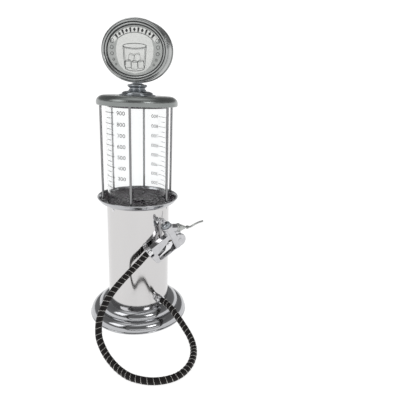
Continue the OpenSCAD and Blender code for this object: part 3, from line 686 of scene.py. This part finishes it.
rod = turned([(0.02, 194.6), (ROD_R, 194.6), (ROD_R, 230), (ROD_R, 270), (ROD_R, 310),
              (ROD_R, 345.6), (0.02, 345.6)], 32, 0.2)
rod_nut = hexagon(2.7, 199.3, 201.4, ROD_R + 0.02, 0.25)
finish(mesh_object("tie_rod_set", *at_each_rod(rod)), "rod", "root", "rod_steel", "tie_rods")
finish(mesh_object("rod_nut_set", *at_each_rod(rod_nut)), "mirror", "root", "chrome", "rod_nuts", smooth=25)

# ---------------------------------------------------------------- lid and neck
LID_R, LID_TOP, LID_UNDER, SKIRT_R = 60.0, 355.8, 341.6, 58.5
lid = lathe("lid_shell", (
    [(SKIRT_R, LID_UNDER)] + arc(LID_R - 1.7, LID_UNDER + 2.6, 1.7, 2.6, -70, 0, 8)
    + arc(LID_R - 12, LID_TOP - 9.5, 12, 9.5, 4, 90, 24)
    + [(40, LID_TOP), (26, LID_TOP), (3.1, LID_TOP), (3.1, LID_TOP - 1.4)]
    + arc(LID_R - 12, LID_TOP - 9.5, 10.6, 8.1, 90, 0, 16)), radius=0.3, seg=224)
finish(lid, "lid", "lid", "lid_metal", "lid_cap")
FOOT_TOP, SPOOL_TOP = 362.6, 372.2
foot_piece = lathe("neck_foot", (
    [(3.1, LID_TOP + 0.02), (26.9, LID_TOP + 0.02), (27.25, LID_TOP + 0.8), (26.8, LID_TOP + 1.8),
     (25, LID_TOP + 2.1), (24.2, LID_TOP + 2.2)]
    + arc(13, LID_TOP + 2, 10.6, 4.8, 4, 80, 16) + [(14, FOOT_TOP), (3.1, FOOT_TOP)]),
    radius=0.5, seg=176)
finish(foot_piece, "dark", "lid", "dark_chrome", "finial_foot")

SIGN_W, SIGN_H, SIGN_T, SIGN_Z, CORE_T = 104, 87, 23.5, 417.5, 15
FACE_W, FACE_H, FACE_T = SIGN_W - 17.6, SIGN_H - 17, 1.6


def spool():
    """The neck, with its top following the underside of the oval sign."""
    profile = rounded([(3.1, FOOT_TOP), (13.4, FOOT_TOP), (13.6, FOOT_TOP + 0.6)]
                      + arc(14.6, FOOT_TOP + 3.2, 3, 2.4, 230, 130, 14)
                      + arc(12.6, FOOT_TOP + 7.2, 2.2, 1.9, -70, 80, 14)
                      + [(11.0, SPOOL_TOP - 0.3), (9.0, SPOOL_TOP + 0.4), (7.2, SPOOL_TOP + 0.6),
                         (7.2, SPOOL_TOP + 2.4), (3.1, SPOOL_TOP + 2.4)], 0.4)
    seg = 144
    verts = []
    for r, z in profile:
        for t in around(seg):
            x, y = r * math.cos(t), r * math.sin(t)
            inset = 1.0 if abs(y) < 7.5 else -0.05
            a, b = SIGN_W / 2 - inset, SIGN_H / 2 - inset
            under = SIGN_Z - b * math.sqrt(max(0.0, 1 - (x / a) ** 2))
            verts.append((x, y, min(z, under) if z > FOOT_TOP + 5 else z))
    return verts, grid_faces(len(profile), seg, True, True)


finish(mesh_object("neck_bead", *spool()), "dark", "lid", "dark_chrome", "neck_spool")


# ---------------------------------------------------------------- sign
def oval_sweep(name, profile, radius=0.35, seg=240):
    """Sweeps an outline of (inset from the sign's edge, depth towards the front) round an oval."""
    verts = []
    rows = rounded(profile, radius)
    for inset, depth in rows:
        a, b = SIGN_W / 2 - inset, SIGN_H / 2 - inset
        verts += [(a * math.cos(t), -depth, SIGN_Z + b * math.sin(t)) for t in around(seg)]
    return mesh_object(name, verts, grid_faces(len(rows), seg, True, True))


HALF = SIGN_T / 2
core = oval_sweep("sign_drum", [(9.8, 7.48), (2.6, 7.48), (1.25, 6.6), (1.0, 5.2), (1.0, 0), (1.0, -5.2),
                                (1.25, -6.6), (2.6, -7.48), (9.8, -7.48), (9.8, 0)], radius=0.6)
finish(core, "bezel", "lid", "chrome", "sign_housing")
RIM = [(8.6, 7.5), (8.6, 9.7), (8.0, 10.6), (7.0, 10.9), (6.2, 10.5), (5.8, 9.4), (5.3, 9.4), (5.0, 10.9),
       (4.3, HALF - 0.15), (3.3, HALF), (2.4, HALF - 0.5), (1.9, 10.5), (1.4, 10.1), (0.5, 9.9),
       (0, 9.0), (0, 8.1), (0.5, 7.5)]
front_rim = oval_sweep("sign_rim_front", RIM, radius=0.25)
back_rim = oval_sweep("sign_rim_back", [(i, -d) for i, d in RIM], radius=0.25)
finish(front_rim, "bezel", "lid", "chrome", "sign_bezel_front")
finish(back_rim, "bezel", "lid", "chrome", "sign_bezel_back")


def sign_place(sense):
    """Maps (across, up, out) of a face to the row frame; sense is 1 for the front and -1 for the back."""
    axes = Matrix(((sense, 0, 0, 0), (0, 0, -sense, 0), (0, 1, 0, 0), (0, 0, 0, 1)))
    return Matrix.Translation((0, 0, SIGN_Z)) @ axes


def oval_ring(outer, inner, low, high, seg=200):
    """A flat oval ring with bevelled edges, as (verts, faces)."""
    (a1, b1), (a0, b0) = outer, inner
    rows = [(0, low), (0, high - 0.12), (0.15, high)]
    verts = []
    profile = ([(a1 - i, b1 - i, z) for i, z in rows]
               + [(a0 + i, b0 + i, z) for i, z in reversed(rows)])
    for a, b, z in profile:
        verts += [(max(a, 0.02) * math.cos(t), max(b, 0.02) * math.sin(t), z) for t in around(seg)]
    return verts, grid_faces(len(profile), seg, True, True)


FACE_LEVEL = CORE_T / 2 + FACE_T
ARCH_Y, ARCH_A, ARCH_B = -6, 41, 34


def flat_solid(part, low, high):
    """Thickens a flat shape."""
    verts, faces = part
    n = len(verts)
    out = [(v[0], v[1], low) for v in verts] + [(v[0], v[1], high) for v in verts]
    solid = [list(f) for f in faces] + [[i + n for i in reversed(f)] for f in faces]
    seen = {(a, b) for f in faces for a, b in zip(f, list(f[1:]) + list(f[:1]))}
    solid += [[b, a, a + n, b + n] for a, b in seen if (b, a) not in seen]
    return out, solid


def outline_stroke(points, width, low, high, closed=False):
    """A raised line through points."""
    pts = list(points) + ([points[0], points[1]] if closed else [])
    return flat_solid(ribbon(pts, width), low, high)


def sign_field(level):
    """The bright field under the arch, and the arch's band."""
    field = rounded(arc(0, ARCH_Y, 36.2, 29.6, 134, 46, 24)
                    + [(28.5, 5), (28, -8), (24, -19), (16.5, -27), (0, -31.4), (-16.5, -27), (-24, -19),
                       (-28, -8), (-28.5, 5)], 3)
    sheet = ([Vector((x, y, 0)) for x, y in field], [tuple(range(len(field)))])
    band = outline_stroke(arc(0, ARCH_Y, ARCH_A, ARCH_B, 140, 40, 24), 7.2, level, level + 0.1)
    return [flat_solid(sheet, level, level + 0.12), band]


def sign_arch(level):
    """Alternate bars and diamonds on the arch between two lines, a dark ring round the face's edge, and two
    dark rings of painted shade in the bezel's groove and at the foot of its step.
    """
    top, reach = level + 0.2, 2.9
    marks = [oval_ring((43.0, 34.8), (41.7, 33.5), level, top)]
    # Painted shade: two near-black oval rings laid in the bezel's groove and at the foot of its step,
    # darkening these recesses of the chrome.
    for outer, inner, rise in ((5.2, 5.9, 9.7), (1.3, 2.0, 10.3)):
        marks.append(oval_ring((SIGN_W / 2 - outer, SIGN_H / 2 - outer),
                               (SIGN_W / 2 - inner, SIGN_H / 2 - inner), rise - 0.5, rise))
    for k in range(11):
        mid = math.radians(132 - k * 8.4)
        spine = Vector((ARCH_A * math.cos(mid), ARCH_Y + ARCH_B * math.sin(mid), 0))
        up = Vector((math.cos(mid), math.sin(mid), 0))
        across = Vector((-up.y, up.x, 0))
        if k % 2:
            quad = [spine + up * reach, spine - across * 2.2, spine - up * reach, spine + across * 2.2]
        else:
            quad = [spine + up * reach - across * 1.5, spine - up * reach - across * 1.1,
                    spine - up * reach + across * 1.1, spine + up * reach + across * 1.5]
        marks.append(flat_solid((quad, [(0, 1, 2, 3)]), level, top))
    marks.append(outline_stroke(arc(0, ARCH_Y, 37.0, 30.4, 136, 44, 24), 0.55, level, top))
    marks.append(outline_stroke(arc(0, 0, 39.6, 32.0, 160, 20, 32), 0.4, level, top))
    return marks


def sign_circles(level):
    """Small circles down both sides of the face."""
    circles = ((34.4, 13, 2.8), (35.2, 4.5, 2.4), (34.8, -4, 2.2), (32.4, -12, 1.5), (28.8, -18.6, 1.2))
    return [outline_stroke(arc(side * x, y, r, r, 0, 342, 19), 0.6, level, level + 0.25, closed=True)
            for side in (-1, 1) for x, y, r in circles]


def sign_tumbler(level):
    """A tumbler with ice cubes, drawn in lines."""
    top = level + 0.3
    rim_y, rim_w, foot_y, foot_w = 6.5, 17.6, -23.4, 14.6
    lines = [outline_stroke(arc(0, rim_y, rim_w, 3.2, 0, 351, 40), 0.8, level, top, closed=True),
             outline_stroke(arc(0, rim_y - 1.5, rim_w - 0.7, 3.0, 180, 360, 24), 0.45, level, top)]
    for side in (-1, 1):
        lines.append(outline_stroke([(side * rim_w, rim_y), (side * (rim_w - 0.8), -6),
                                     (side * (foot_w + 1.0), foot_y + 4), (side * foot_w, foot_y)],
                                    0.8, level, top))
        lines.append(outline_stroke([(side * (rim_w - 2), rim_y - 3.4), (side * (rim_w - 2.6), -8),
                                     (side * (foot_w - 1), foot_y + 4)], 0.4, level, top))
    lines.append(outline_stroke(arc(0, foot_y, foot_w, 4.0, 180, 360, 24), 0.8, level, top))
    cubes = ((-10.2, -18.8, 4.4, 8, 0.75), (-0.4, -20.2, 4.6, -4, 0.75), (9.6, -19, 4.4, 6, 0.75),
             (-5.2, -10, 4.1, -10, 0.45), (4.4, -9.6, 4.2, 9, 0.45))
    for cx, cy, half, turn, width in cubes:
        t = math.radians(turn)
        square = [(cx + half * (c * math.cos(t) - e * math.sin(t)),
                   cy + half * (c * math.sin(t) + e * math.cos(t)))
                  for c, e in ((-1, -1), (1, -1), (1, 1), (-1, 1))]
        lines.append(outline_stroke(rounded(square, 1.0, 3), width * 0.7, level, top, closed=True))
        left, right = square[3], square[2]
        lines.append(outline_stroke([left, (left[0] + 1.9, left[1] + 1.9),
                                     (right[0] - 1.2, right[1] + 1.9), right], width, level, top))
    return lines


def sign_face(suffix, sense):
    """One face of the sign: its plate, and the marks that stand on it."""
    place = sign_place(sense)

    def put(name, parts, mat, *nodes, smooth):
        piece = mesh_object(f"{name}_{suffix}", *merged(parts), place)
        finish(piece, mat, "lid", "sign_face", *nodes, smooth=smooth)

    plate = oval_ring((FACE_W / 2 - 0.1, FACE_H / 2 - 0.1), (0.0, 0.0), CORE_T / 2, FACE_LEVEL)
    emblem = ["sign_emblem"] if sense > 0 else []
    put("sign_plate", [plate], "plate", f"sign_face_{suffix}", smooth=40)
    put("sign_field", sign_field(FACE_LEVEL), "etch", smooth=30)
    put("sign_rope", sign_arch(FACE_LEVEL), "sign_ink_and_groove_shade", smooth=0)
    put("sign_tumbler", sign_circles(FACE_LEVEL) + sign_tumbler(FACE_LEVEL), "line", *emblem, smooth=0)


sign_face("front", 1)
sign_face("back", -1)

# ---------------------------------------------------------------- peg and outlet
PEG_TILT, PEG_R = 15, 1.4
peg_root_z = EYE_Z - (EYE_RHO - PED_R) * math.tan(math.radians(PEG_TILT))
peg_place = radial(PEG_AZIMUTH, PED_R, peg_root_z, PEG_TILT)
peg_len = EYE_RHO - PED_R + 6
peg = turned([(0.02, -6), (PEG_R, -6), (PEG_R, 1.4), (2.2, 1.5), (4, 1.2), (4, 1.9), (2.5, 2.9),
              (PEG_R, 3.0), (PEG_R, peg_len)] + arc(0, peg_len, PEG_R, PEG_R, 20, 80, 3)
             + [(0.02, peg_len + PEG_R)], 48, 0.15)
finish(mesh_object("gun_peg", *moved(peg, peg_place)), "mirror", "root", "chrome", "hanger_peg")
crimp = turned([(3.45, 53.2), (6, 53.2), (6, 54.6), (6.5, 54.9), (6.5, 56.2), (6, 56.5), (6, 57.4),
                (5.8, 57.7), (6, 58), (6, 60), (3.45, 60)], 64, 0.25)
crimp = moved(crimp, radial(OUTLET_AZIMUTH, 0, OUTLET_Z))
finish(mesh_object("outlet_crimp", *crimp), "mirror", "root", "chrome", "outlet_ferrule")

# ---------------------------------------------------------------- gun
STEM_X, PIVOT, SPOUT_BASE, SPOUT_PITCH = 43, (31, -9), (55.2, 4.2), math.radians(-36)
grip_outline = ([(3.5, 4.5), (STEM_X, 4.5), (STEM_X, -24.4)] + arc(5, -19.4, 5, 5, 270, 190, 8)
                + [(-2.4, -8), (3.5, -8)])
finger_gap = ([(7.5, -11.2), (19, -8.2), (30, -5), (33, -3), (37, -3.4), (STEM_X, -8), (STEM_X, -21),
               (37, -22.2)] + arc(9.8, -19.9, 2.3, 2.3, 270, 180, 8))
NOSE = Matrix.Translation((50, -14.2, 0))
TONGUE = [(27, -9), (28.5, -12), (33.5, -12), (35, -2.5), (28, -4)]
UPWARDS = Matrix.Rotation(math.radians(-90), 4, "X")
ALONG = Matrix.Rotation(math.radians(90), 4, "Y")
AT_STEM = Matrix.Translation((STEM_X, 0, 0)) @ UPWARDS
AT_PIVOT = Matrix.Translation((*PIVOT, 0))
SPOUT = Matrix.Translation((*SPOUT_BASE, 0)) @ Matrix.Rotation(SPOUT_PITCH, 4, "Z") @ ALONG


def body_parts():
    """The overlapping solids that the casting is fused from."""
    grip = prism(rounded(grip_outline, 1.2, 3), -5.6, 5.6, 1.5, 4)
    head = moved(turned([(0.02, -23.6), (8.0, -23.6), (8.6, -22.6), (8.6, 13.6), (8.95, 14.2), (8.95, 16.2),
                         (8.6, 17), (0.02, 17)], 96, 0.5), AT_STEM)
    nose = moved(turned([(0.02, -7.6), (9.3, -7.6), (10.2, -6.7), (10.2, 6.7), (9.3, 7.6), (0.02, 7.6)],
                        96, 0.4), NOSE)
    socket = moved(turned([(0.02, -12), (6.6, -12), (6.6, -1.2), (6.3, 0), (0.02, 0)], 72, 0.3), SPOUT)
    web = prism([(46, -2), (54, 3.5), (58.6, -4), (56, -9), (48, -9)], -4.6, 4.6, 1.2, 3)
    return merged([grip, head, nose, socket, web, prism(TONGUE, -2.6, 2.6)])


gap_cut = prism(rounded(finger_gap, 1.0, 3), -6.5, 6.5)
slot_cut = prism([(34.6, -3.8), (50, -5.2), (51.4, -12), (49, -20), (34.6, -21.4)], -5.4, 5.4)
bore_cut = moved(turned([(0.02, 3), (4.95, 3), (4.95, 19), (0.02, 19)], 64, 0.1), AT_STEM)
pin_cut = moved(turned([(0.02, -10), (1.3, -10), (1.3, 10), (0.02, 10)], 40, 0.1), AT_PIVOT)


def gun_casting():
    """The cast body, with the trigger's tongue put back where the finger gap was cut."""
    obj = remeshed("gun_casting", body_parts(), [gap_cut, slot_cut, bore_cut], 0.34, 7, Matrix.Identity(4))
    tongue = mesh_object("gun_tongue_part", *prism(TONGUE, -2.6, 2.6))
    join = bmesh.new()
    join.from_mesh(obj.data)
    join.from_mesh(tongue.data)
    join.to_mesh(obj.data)
    join.free()
    bpy.data.objects.remove(tongue)
    obj.data.transform(Matrix.Scale(MM, 4) @ GUN @ Matrix.Scale(1 / MM, 4))
    return obj


finish(gun_casting(), "cast", "gun", "chrome", "gun_body", smooth=0)

cheek = rounded([(9.2, -17), (31, -17), (36, -13.4), (44, -10.6), (44, -7.4), (36, -7), (33, -5.9),
                 (29, -5.9), (26, -9), (22, -13.4), (9.2, -15.6)], 0.9, 3)
trigger_parts = merged([prism(cheek, 3.1, 4.4, 0.25, 2), prism(cheek, -4.4, -3.1, 0.25, 2),
                        prism([(9.2, -17.4), (31, -17.4), (31, -16.2), (9.2, -16.2)], -4.4, 4.4, 0.4, 2),
                        moved(turned([(0.02, -4.4), (1.4, -4.4), (1.4, 4.4), (0.02, 4.4)], 40, 0.2),
                              Matrix.Translation((STEM_X, PIVOT[1], 0)))])
trigger = remeshed("trigger_lever", trigger_parts, [pin_cut], 0.22, 3, GUN)
finish(trigger, "mirror", "trigger", "chrome", "trigger", smooth=0)


def gun_piece(name, part, mat, slot_name, *nodes, smooth=40):
    """A finished piece that is drawn in the gun's own frame and rides on the gun."""
    finish(mesh_object(name, *part, GUN), mat, "gun", slot_name, *nodes, smooth=smooth)


pin = moved(turned([(0.02, -6), (1.7, -6), (2, -5.7), (2, -5.3), (1.22, -5.2), (1.22, 5.2), (2, 5.3),
                    (2, 5.7), (1.7, 6), (0.02, 6)], 40, 0.15), AT_PIVOT)
gun_piece("trigger_pivot", pin, "mirror", "chrome", "trigger_pin")


def fluted(rows, flutes, depth, seg=192):
    """A lathe whose rows marked True carry shallow flutes."""
    verts = []
    for r, z, cut in rows:
        for t in around(seg):
            q = r - (depth * (0.5 - 0.5 * math.cos(flutes * t)) if cut else 0)
            verts.append((q * math.cos(t), q * math.sin(t), z))
    return verts, grid_faces(len(rows), seg, True, True)


# (radius, height) below, along and above the knurled band
cap_low = [(0.02, 12.6), (4.7, 12.6), (4.95, 12.9), (4.95, 17.02), (7.0, 17.02), (7.3, 17.3)]
cap_band = [(7.4, 17.6), (7.4, 18.6), (7.4, 19.6), (7.4, 20.6)]
cap_high = [(7.25, 21.2), (6.7, 21.7), (5.4, 22.6), (4.6, 23), (2.4, 23.1), (0.02, 23.1)]
cap_rows = [(r, z, rows is cap_band) for rows in (cap_low, cap_band, cap_high) for r, z in rows]
gun_piece("valve_cap_knurled", moved(fluted(cap_rows, 26, 0.35), AT_STEM), "dark", "chrome", "valve_cap")
ring_parts = merged([
    moved(turned([(2.35, -1.3), (4.1, -1.3), (4.1, 1.3), (2.35, 1.3)], 72, 0.75),
          Matrix.Translation((EYE_X, EYE_Y, 0))),
    moved(turned([(0.02, 23), (1.9, 23), (1.6, 23.6), (1.6, 25.6), (0.02, 25.6)], 40, 0.2),
          Matrix.Translation((EYE_X, 0, 0)) @ UPWARDS)])
gun_piece("hang_eye", ring_parts, "cast", "chrome", "hang_ring")
AT_CRIMP = Matrix.Translation((0, CRIMP_Y, 0)) @ ALONG
crimp_rows = [(3.05, -4), (5.9, -4), (6.2, -3.6), (6.2, -3.1), (6.8, -2.9), (6.8, -1.6), (6.2, -1.4),
              (6.2, -0.4), (5.95, -0.1), (6.2, 0.2), (6.2, 1.0), (5.95, 1.3), (6.2, 1.6), (6.2, 3.5),
              (3.05, 3.5)]
gun_piece("gun_crimp", moved(turned(crimp_rows, 72, 0.15), AT_CRIMP), "mirror", "chrome", "gun_ferrule")

nose_disc = turned([(0.02, 7.4), (3.4, 7.4), (3.4, 7.8), (2.9, 8.2), (0.9, 8.25), (0.02, 8.0)], 56, 0.15)
nose_sides = (Matrix.Rotation(math.pi, 4, "X"), Matrix.Identity(4))
nose_discs = [moved(nose_disc, NOSE @ side) for side in nose_sides]
gun_piece("nose_discs", merged(nose_discs), "cast", "chrome")

cone = turned([(1.62, 0), (6.2, 0), (6.5, 0.5), (6.9, 2.6), (6.7, 2.9), (6.7, 3.3), (7.1, 3.5),
               (7.3, 4.1), (7.1, 4.8), (4.9, 10.2), (4.4, 11.2), (4.4, 11.6), (3.9, 12.2), (2.5, 16.2),
               (2.3, 16.5), (1.62, 16.5)], 96, 0.25)
gun_piece("spout_cone_turned", moved(cone, SPOUT), "cone", "cone_metal", "spout_cone")
collar = turned([(1.62, 22.6), (2.3, 22.6), (2.2, 23.9), (1.9, 24.2), (1.62, 24.2)], 48, 0.1)
spout_nut = moved(merged([hexagon(2.9, 19.8, 22.8, 1.62, 0.3), collar]), SPOUT)
gun_piece("spout_nut_turned", spout_nut, "cone", "cone_metal", "spout_nut", smooth=25)


def spout_path():
    """The pipe's route: straight, a short lift, then one long gentle bend down."""
    start, lift_r, lift, mid, bend_r, bend = 24.5, 10, math.radians(28), 4, 52, math.radians(20)
    points = [(4 + i * (start - 4) / 6, 0) for i in range(6)]
    for k in range(9):
        a = lift * k / 8
        points.append((start + lift_r * math.sin(a), lift_r * (1 - math.cos(a))))
    s, h = points[-1]
    s, h = s + mid * math.cos(lift), h + mid * math.sin(lift)
    points.append((s, h))
    cx, cy = s + bend_r * math.sin(lift), h - bend_r * math.cos(lift)
    for k in range(1, 13):
        a = lift - bend * k / 12
        points.append((cx - bend_r * math.sin(a), cy + bend_r * math.cos(a)))
    d = Vector((math.cos(SPOUT_PITCH), math.sin(SPOUT_PITCH), 0))
    u = Vector((-d.y, d.x, 0))
    base = Vector((*SPOUT_BASE, 0))
    return [base + d * s + u * h for s, h in points]


def spout_pipe():
    """A thin pipe with an open tip."""
    path = spout_path()
    frames = path_frames(path)
    seg = 40
    verts = []
    rows = [(i, 1.6) for i in range(len(path))] + [(i, 1.1) for i in range(len(path) - 1, -1, -1)]
    for i, r in rows:
        p, _, u, v = frames[i]
        verts += [tuple(p + (u * math.cos(t) + v * math.sin(t)) * r) for t in around(seg)]
    return verts, grid_faces(len(rows), seg, True, True)


gun_piece("spout_pipe", spout_pipe(), "cone", "cone_metal", "spout_tube", smooth=50)

# ---------------------------------------------------------------- what stays as drawn in CAD
SLOT_FINISH = {"chrome": "mirror", "rod_steel": "rod", "plate_steel": "steel", "lid_metal": "lid",
               "dark_chrome": "dark", "black_rubber": "rubber", "clear_tube": "clear", "seal_white": "seal",
               "floor_plastic": "plum", "inner_plastic": "inner", "brass": "brass", "sign_face": "plate",
               "cone_metal": "cone"}
slots = {part["node"]: part["material_slot"] for part in frame["record"]["subparts"]}
for node_name, node in CAD_NODES.items():
    node.data.materials.clear()
    node.data.materials.append(MATS[SLOT_FINISH[slots[node_name]]])
